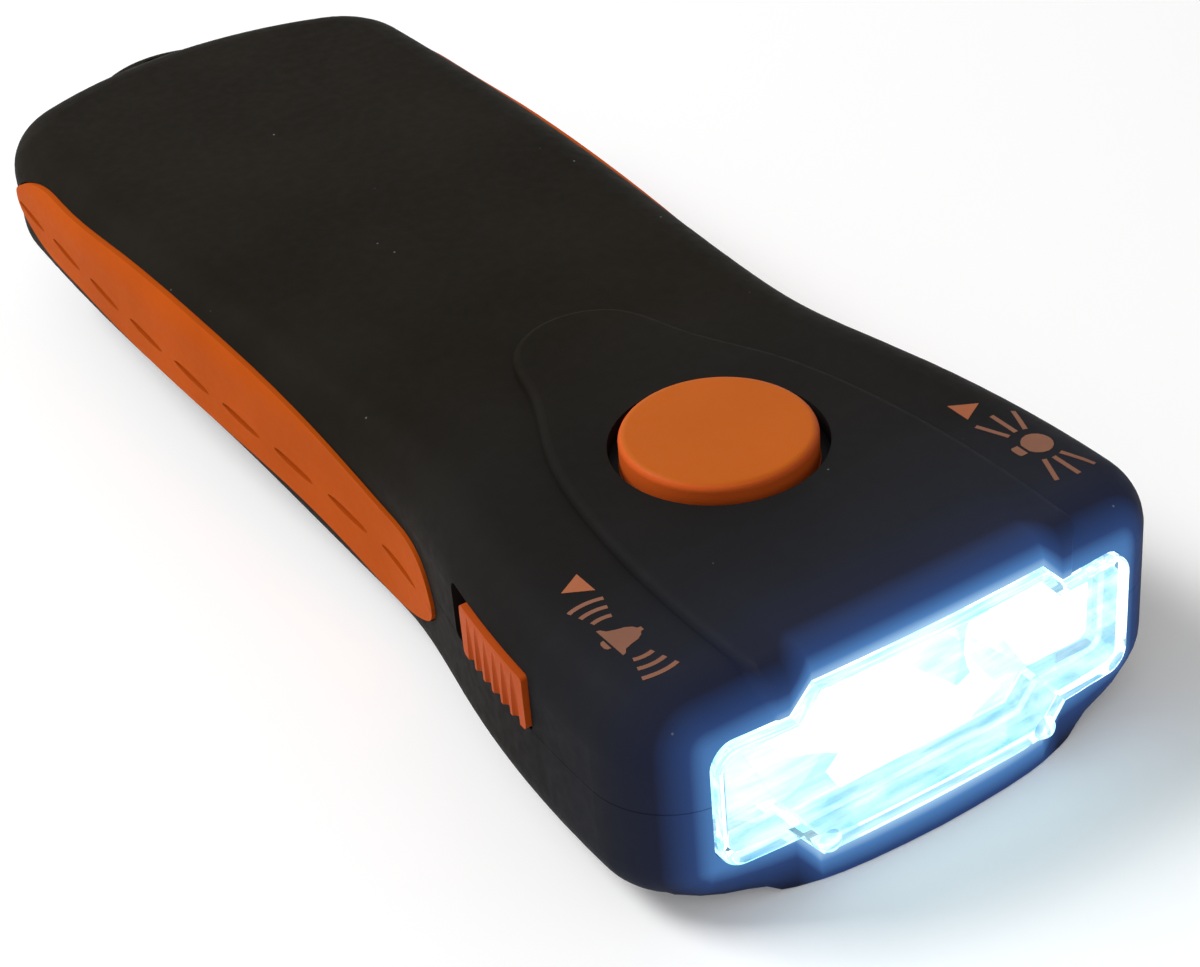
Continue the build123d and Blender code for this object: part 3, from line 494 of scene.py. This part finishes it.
def button_cap():
    """Warm orange moulding with a satin face and a side painted redder as lit, on a collar painted black as
    shade.
    """
    shader = Shader("button_cap")
    top = shader.mix(shader.patches(), rgb(190, 93, 24), rgb(184, 89, 21))
    # Painted light: below the face the side is painted a brighter red, as lit
    drop = shader.math("SUBTRACT", button_top, shader.axis("Z"))
    side = shader.ramp(drop, painted_lit_side_depth, 2 * painted_lit_side_depth)
    cap = shader.mix(side, top, rgb(207, 89, 31))
    # Painted shade: outside the face's radius the collar is painted black
    along = shader.math("SUBTRACT", shader.axis("Y"), button_y)
    out = shader.math("ADD", shader.square(shader.axis("X")), shader.square(along))
    collar_shade = shader.ramp(shader.math("SQRT", out), button_face_r, button_face_r + colour_edge)
    shader.colour(shader.mix(collar_shade, cap, rgb(20, 19, 18)))
    shader.gloss(0.45, 0.55)
    shader.relief(shader.noise(3600.0, 2.0, 0.6), 0.2)
    shader.value("Specular IOR Level", 0.08)
    return shader.material


def slider_cap():
    """Orange ribbed knob on a black plate."""
    shader = Shader("slider_cap")
    knob = shader.mix(shader.patches(90.0), rgb(176, 73, 20), rgb(166, 68, 17))
    out = shader.math("ABSOLUTE", shader.axis("X"))
    root = shader.ramp(out, knob_root_x - colour_edge, knob_root_x + colour_edge, 1.0, 0.0)
    shader.colour(shader.mix(root, knob, rgb(40, 38, 36)))
    shader.gloss(0.45, 0.55)
    shader.relief(shader.noise(3600.0, 2.0, 0.6), 0.2)
    shader.value("Specular IOR Level", 0.06)
    return shader.material


def clear_lens():
    """Clear moulding with a cool tint, and painted light caught in streaks along it."""
    shader = Shader("clear_lens")
    shader.value("Base Color", (0.86, 0.96, 1.0, 1.0))
    shader.value("Transmission Weight", 1.0)
    shader.value("IOR", 1.49)
    shader.roughness(shader.ramp(shader.noise(500.0), 0.4, 0.6, 0.01, 0.05))
    # Painted light: the lens glows in streaks, as if catching the lamps' light
    caught = shader.ramp(shader.noise(420.0, stretch=(0.35, 1.0, 1.6)), 0.42, 0.62)
    shader.shine(shader.mix(caught, rgb(100, 170, 205), rgb(214, 248, 255)), 0.34)
    return shader.material


def lit_reflector():
    """Bright metallised cups with painted light from the lamps inside, white with painted cooler reflections
    on facets here and there.
    """
    shader = Shader("lit_reflector")
    facet = shader.cells(120.0, "Color", (1.0, 0.5, 1.1))
    split = shader.tree.nodes.new("ShaderNodeSeparateColor")
    shader.link(facet, split.inputs["Color"])
    painted_cool_light = shader.ramp(split.outputs["Red"], 0.58, 0.66)
    shader.value("Base Color", (0.30, 0.36, 0.38, 1.0))
    shader.value("Metallic", 0.6)
    shader.value("Roughness", 0.25)
    # Painted light: the cups glow white, and cyan on some facets, though they are no lamps
    shader.shine(shader.mix(painted_cool_light, (1.08, 1.08, 1.08, 1.0), rgb(150, 240, 232)), 1.0)
    return shader.material


def lit_seal():
    """The black rubber behind the lens's rim, washed with painted light."""
    shader = moulded("seal_rubber", rgb(24, 24, 24), rgb(30, 30, 30), 0.7, 3000.0, 0.2)
    # Painted light: the rubber glows pale blue, though it is no lamp
    wash = shader.mix(shader.noise(500.0), rgb(130, 195, 235), rgb(215, 243, 255))
    shader.shine(wash, 0.9)
    return shader.material


def lit_lamp():
    """The lamps' clear resin, shining white."""
    shader = Shader("lit_lamp")
    tone = shader.mix(shader.noise(800.0, 1.0), rgb(235, 250, 255), rgb(255, 255, 255))
    shader.colour(tone)
    shader.shine(tone, 1.6)
    return shader.material


def print_ink(name, base, shade):
    """Dull orange printing ink, thin in places."""
    shader = moulded(name, base, shade, 0.6, 5000.0, 0.2)
    shader.value("Specular IOR Level", 0.15)
    return shader.material


finishes = {
    "shell_black": soft_touch(),
    "grip_orange": grip_rubber(),
    "button_orange": button_cap(),
    "slider_orange": slider_cap(),
    "lens_clear": clear_lens(),
    "seal_black": lit_seal(),
    "dome_grey": plain("dome_rubber", rgb(150, 150, 152), rgb(140, 140, 142), 0.6, 3000.0, 0.2),
    "reflector_bright": lit_reflector(),
    "led_white": lit_lamp(),
    "board_green": plain("board_mask", rgb(24, 92, 48), rgb(20, 80, 42), 0.3, 1500.0, 0.1),
    "switch_black": plain("switch_body", rgb(30, 30, 32), rgb(36, 36, 38), 0.4, 2500.0, 0.15),
    "lever_white": plain("lever_plastic", rgb(225, 225, 218), rgb(215, 215, 208), 0.4, 2500.0, 0.1),
    "siren_black": plain("siren_ring", rgb(26, 26, 28), rgb(32, 32, 34), 0.4, 2500.0, 0.15),
    "disc_brass": metal("disc_brass", rgb(214, 180, 110), rgb(196, 160, 92), 0.3),
    "pin_gold": metal("pin_plating", rgb(226, 188, 104), rgb(212, 172, 90), 0.25),
    "contact_steel": metal("contact_plating", rgb(200, 200, 196), rgb(184, 184, 180), 0.28),
    "cell_wrap": metal("cell_wrap", rgb(92, 98, 108), rgb(80, 86, 96), 0.3),
    "screw_steel": metal("screw_zinc", rgb(70, 70, 72), rgb(58, 58, 60), 0.4),
}
sign_ink = print_ink("sign_ink", rgb(138, 92, 72), rgb(122, 82, 64))
pointer_ink = print_ink("pointer_ink", rgb(168, 98, 64), rgb(154, 88, 56))


def dress_nodes():
    """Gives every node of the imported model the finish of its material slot."""
    for part in frame["record"]["subparts"]:
        mesh = nodes[part["node"]].data
        mesh.materials.clear()
        mesh.materials.append(finishes[part["material_slot"]])


def smooth_nodes():
    """Soft shading across the facets of the curved forms, sharp at their real edges."""
    for node in nodes.values():
        activate(node)
        bpy.ops.object.shade_smooth_by_angle(angle=node_smooth_angle)
    deselect()


# Camera, light and floor
def place_camera():
    """The camera that took the photograph's view."""
    data = bpy.data.cameras.new("camera")
    camera = bpy.data.objects.new("camera", data)
    bpy.context.scene.collection.objects.link(camera)
    level = math.cos(camera_elevation)
    back = Vector((
        math.sin(camera_azimuth) * level,
        -math.cos(camera_azimuth) * level,
        math.sin(camera_elevation),
    ))
    right = Vector((math.cos(camera_azimuth), math.sin(camera_azimuth), 0))
    up = back.cross(right)
    right_rolled = right * math.cos(camera_roll) + up * math.sin(camera_roll)
    up_rolled = up * math.cos(camera_roll) - right * math.sin(camera_roll)
    camera.matrix_world = Matrix((
        (right_rolled.x, up_rolled.x, back.x, camera_place.x),
        (right_rolled.y, up_rolled.y, back.y, camera_place.y),
        (right_rolled.z, up_rolled.z, back.z, camera_place.z),
        (0, 0, 0, 1),
    ))
    data.sensor_width = sensor_width
    data.lens = focal_pixels * sensor_width / image_width
    data.clip_start = clip_near
    data.clip_end = clip_far
    bpy.context.scene.camera = camera


def lamp(name, place, size, power):
    """A square soft light that looks at the model."""
    data = bpy.data.lights.new(name, "AREA")
    data.shape = "SQUARE"
    data.size = size
    data.energy = power
    light = bpy.data.objects.new(name, data)
    bpy.context.scene.collection.objects.link(light)
    light.location = place
    light.rotation_euler = Vector(place).to_track_quat("Z", "Y").to_euler()


def seen_ray(tree):
    """One where the camera looks straight at, through or by a mirror at the surface."""
    path = tree.nodes.new("ShaderNodeLightPath")
    seen = path.outputs["Is Camera Ray"]
    for name in ("Is Glossy Ray", "Is Transmission Ray"):
        either = tree.nodes.new("ShaderNodeMath")
        either.operation = "MAXIMUM"
        tree.links.new(seen, either.inputs[0])
        tree.links.new(path.outputs[name], either.inputs[1])
        seen = either.outputs["Value"]
    return seen


def light_scene():
    """A pale studio: an even sky that is seen as white, and soft lamps."""
    bpy.context.scene.view_settings.view_transform = "Standard"
    world = bpy.data.worlds.new("studio")
    bpy.context.scene.world = world
    world.use_nodes = True
    tree = world.node_tree
    sky = tree.nodes["Background"]
    sky.inputs["Color"].default_value = (1, 1, 1, 1)
    level = tree.nodes.new("ShaderNodeMapRange")
    level.inputs["To Min"].default_value = sky_level
    level.inputs["To Max"].default_value = 1.0
    tree.links.new(seen_ray(tree), level.inputs["Value"])
    tree.links.new(level.outputs["Result"], sky.inputs["Strength"])
    lamp("key", key_place, key_size, key_power)
    lamp("fill", fill_place, fill_size, fill_power)


def floor_white():
    """Matt white, seen a little brighter than it is lit."""
    shader = Shader("floor_white")
    tone = shader.mix(shader.noise(3.0, 1.0), (0.93, 0.93, 0.93, 1.0), (0.95, 0.95, 0.95, 1.0))
    shader.colour(tone)
    shader.value("Roughness", 0.9)
    shader.value("Specular IOR Level", 0.1)
    lift = shader.tree.nodes.new("ShaderNodeEmission")
    whole = shader.tree.nodes.new("ShaderNodeAddShader")
    strength = shader.ramp(seen_ray(shader.tree), 0.0, 1.0, 0.0, floor_lift)
    shader.link(strength, lift.inputs["Strength"])
    shader.link(shader.surface.outputs["BSDF"], whole.inputs[0])
    shader.link(lift.outputs["Emission"], whole.inputs[1])
    shader.link(whole.outputs["Shader"], shader.output.inputs["Surface"])
    return shader.material


def lay_floor():
    """A plain floor that keeps the object's shadow."""
    deselect()
    bpy.ops.mesh.primitive_plane_add(size=floor_size, location=(0, 0, cad_low.z))
    floor = bpy.context.object
    floor.name = "floor"
    settle(floor)
    floor.data.materials.append(floor_white())


# Modelling
def edit(piece):
    """Opens a piece in edit mode with nothing selected."""
    activate(piece)
    bpy.ops.object.mode_set(mode="EDIT")
    bpy.ops.mesh.select_all(action="DESELECT")


def pick(piece, test):
    """Selects the vertices whose place passes a test."""
    bpy.ops.mesh.select_all(action="DESELECT")
    bpy.ops.object.mode_set(mode="OBJECT")
    for vertex in piece.data.vertices:
        vertex.select = test(vertex.co)
    bpy.ops.object.mode_set(mode="EDIT")


def pull(piece, place, target):
    """Moves the one vertex at a place to another place."""
    pick(piece, lambda spot: (spot - place).length < same_place)
    bpy.ops.transform.translate(value=target - place)


def draw_out(name, sections):
    """A closed form drawn out along X from one ring of places to the next."""
    deselect()
    ring = sections[0]
    bpy.ops.mesh.primitive_circle_add(
        vertices=len(ring), radius=MM, fill_type="NOTHING", rotation=(0, math.pi / 2, 0))
    piece = bpy.context.object
    piece.name = name
    settle(piece)
    start = [vertex.co.copy() for vertex in piece.data.vertices]
    edit(piece)
    for place, target in zip(start, ring):
        pull(piece, place, target)
    for following in sections[1:]:
        step = Vector((following[0].x - ring[0].x, 0, 0))
        pick(piece, lambda spot: spot.x > ring[0].x - same_place)
        bpy.ops.mesh.extrude_edges_move(TRANSFORM_OT_translate={"value": step})
        for place, target in zip(ring, following):
            pull(piece, place + step, target)
        ring = following
    for end in (sections[0], ring):
        pick(piece, lambda spot: abs(spot.x - end[0].x) < same_place)
        bpy.ops.mesh.edge_face_add()
    bpy.ops.mesh.select_all(action="SELECT")
    bpy.ops.mesh.normals_make_consistent(inside=False)
    bpy.ops.object.mode_set(mode="OBJECT")
    return piece


def front_lip():
    """The bowed lip of the housing below the lens, which reaches down to the floor."""
    sections = []
    mirrored = [(-row[0],) + row[1:] for row in lip_stations[1:]]
    for x, back, foot, low, middle, top in sorted(mirrored + list(lip_stations)):
        ring = ((back, foot[1]), foot, low, middle, top, (back, top[1]))
        sections.append([Vector((x, y, z)) * MM for y, z in ring])
    lip = draw_out("front_lip", sections)
    lip.data.materials.append(finishes["shell_black"])
    activate(lip)
    bpy.ops.object.shade_smooth_by_angle(angle=lip_smooth_angle)
    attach(lip, "housing")


# Printed signs, drawn flat with the reading direction along +X and then laid on the shell
def stroke_edge(name, x, low, high):
    """A new piece that is one upright edge, ready to be drawn out."""
    deselect()
    bpy.ops.mesh.primitive_plane_add(size=1.0, location=(0, 0, 0))
    piece = bpy.context.object
    piece.name = name
    edit(piece)
    pick(piece, lambda place: place.x > 0)
    bpy.ops.mesh.delete(type="VERT")
    bpy.ops.object.mode_set(mode="OBJECT")
    piece.scale = (MM, high - low, 1)
    piece.location = (x + MM / 2, (low + high) / 2, 0)
    settle(piece)
    return piece


def arc_stroke(name, height, radius, middle, sweep):
    """A curved stroke, as wide as the pen, round a place at a height above the line."""
    piece = stroke_edge(name, 0.0, radius - stroke / 2, radius + stroke / 2)
    edit(piece)
    bpy.ops.mesh.select_all(action="SELECT")
    bpy.ops.mesh.spin(steps=arc_steps, angle=sweep, center=(0, 0, 0), axis=(0, 0, 1))
    bpy.ops.object.mode_set(mode="OBJECT")
    spun = [math.atan2(vertex.co.y, vertex.co.x) for vertex in piece.data.vertices]
    piece.rotation_euler = (0, 0, middle - (max(spun) + min(spun)) / 2)
    piece.location = (0, height, 0)
    settle(piece)
    return piece


def ray_stroke(name, height, direction):
    """A straight stroke that points away from a place at a height above the line."""
    piece = stroke_edge(name, ray_start, -stroke / 2, stroke / 2)
    edit(piece)
    bpy.ops.mesh.select_all(action="SELECT")
    bpy.ops.mesh.extrude_edges_move(TRANSFORM_OT_translate={"value": (ray_end - ray_start, 0, 0)})
    bpy.ops.object.mode_set(mode="OBJECT")
    piece.rotation_euler = (0, 0, direction)
    piece.location = (0, height, 0)
    settle(piece)
    return piece


def filled_shape(name, outline):
    """A filled sign, symmetric about its upright middle line: half widths at rising heights."""
    height, half = outline[0]
    piece = stroke_edge(name, height, -half, half)
    edit(piece)
    bpy.ops.mesh.select_all(action="SELECT")
    for next_height, next_half in outline[1:]:
        bpy.ops.mesh.extrude_edges_move(TRANSFORM_OT_translate={"value": (next_height - height, 0, 0)})
        bpy.ops.transform.resize(value=(1, next_half / half, 1), center_override=(next_height, 0, 0))
        height, half = next_height, next_half
    bpy.ops.object.mode_set(mode="OBJECT")
    piece.rotation_euler = (0, 0, math.pi / 2)
    settle(piece)
    return piece


def bell_sign():
    """A bell with its clapper between two groups of sound arcs."""
    pieces = [filled_shape("bell", bell_outline), filled_shape("clapper", clapper_outline)]
    for radius in sound_radii:
        for direction in (0.0, math.pi):
            pieces.append(arc_stroke("sound_arc", sound_middle, radius, direction, sound_sweep))
    return join("alarm_sign", pieces)


def lamp_sign():
    """A round lamp with its cap between two fans of rays."""
    pieces = [filled_shape("globe", globe_outline), filled_shape("cap", cap_outline)]
    for direction in ray_fan:
        pieces.append(ray_stroke("ray", ray_middle, direction))
        pieces.append(ray_stroke("ray", ray_middle, math.pi + direction))
    return join("lamp_sign", pieces)


def pointer_sign(name):
    """The small printed triangle beside a slider, its tip along +X."""
    deselect()
    bpy.ops.mesh.primitive_circle_add(vertices=3, radius=pointer_r, fill_type="NGON")
    piece = bpy.context.object
    piece.name = name
    tip = piece.data.vertices[0].co
    piece.rotation_euler = (0, 0, -math.atan2(tip.y, tip.x))
    settle(piece)
    return piece


def print_on(piece, place, turn, ink):
    """Lays a flat print on the top shell and gives it the thickness of ink."""
    piece.rotation_euler = (0, 0, turn)
    piece.location = (place[0], place[1], shell_top + print_clearance)
    settle(piece)
    edit(piece)
    bpy.ops.mesh.select_all(action="SELECT")
    bpy.ops.mesh.remove_doubles(threshold=same_place)
    bpy.ops.mesh.quads_convert_to_tris()
    bpy.ops.mesh.subdivide(number_cuts=print_cuts)
    bpy.ops.mesh.normals_make_consistent(inside=False)
    bpy.ops.object.mode_set(mode="OBJECT")
    wrap = piece.modifiers.new("wrap", "SHRINKWRAP")
    wrap.target = nodes["top_shell"]
    wrap.wrap_method = "PROJECT"
    wrap.use_project_z = True
    wrap.use_negative_direction = True
    wrap.use_positive_direction = True
    bpy.ops.object.modifier_apply(modifier="wrap")
    piece.location = (0, 0, print_lift)
    settle(piece)
    body = piece.modifiers.new("body", "SOLIDIFY")
    body.thickness = print_thickness
    body.offset = 0.0
    bpy.ops.object.modifier_apply(modifier="body")
    piece.data.materials.clear()
    piece.data.materials.append(ink)
    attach(piece, "housing")


def print_signs():
    """The signs on both sides: a pointer at each slider, a bell on the left and a lamp on the right."""
    pointer_x = pointer_base_x + pointer_r / 2
    print_on(pointer_sign("alarm_pointer"), (-pointer_x, pointer_y), math.pi, pointer_ink)
    print_on(pointer_sign("torch_pointer"), (pointer_x, pointer_y), 0.0, pointer_ink)
    print_on(bell_sign(), (-sign_near_x - sign_height, sign_middle_y), -math.pi / 2, sign_ink)
    print_on(lamp_sign(), (sign_near_x, sign_middle_y), -math.pi / 2, sign_ink)


place_camera()
dress_nodes()
smooth_nodes()
light_scene()
lay_floor()
front_lip()
print_signs()
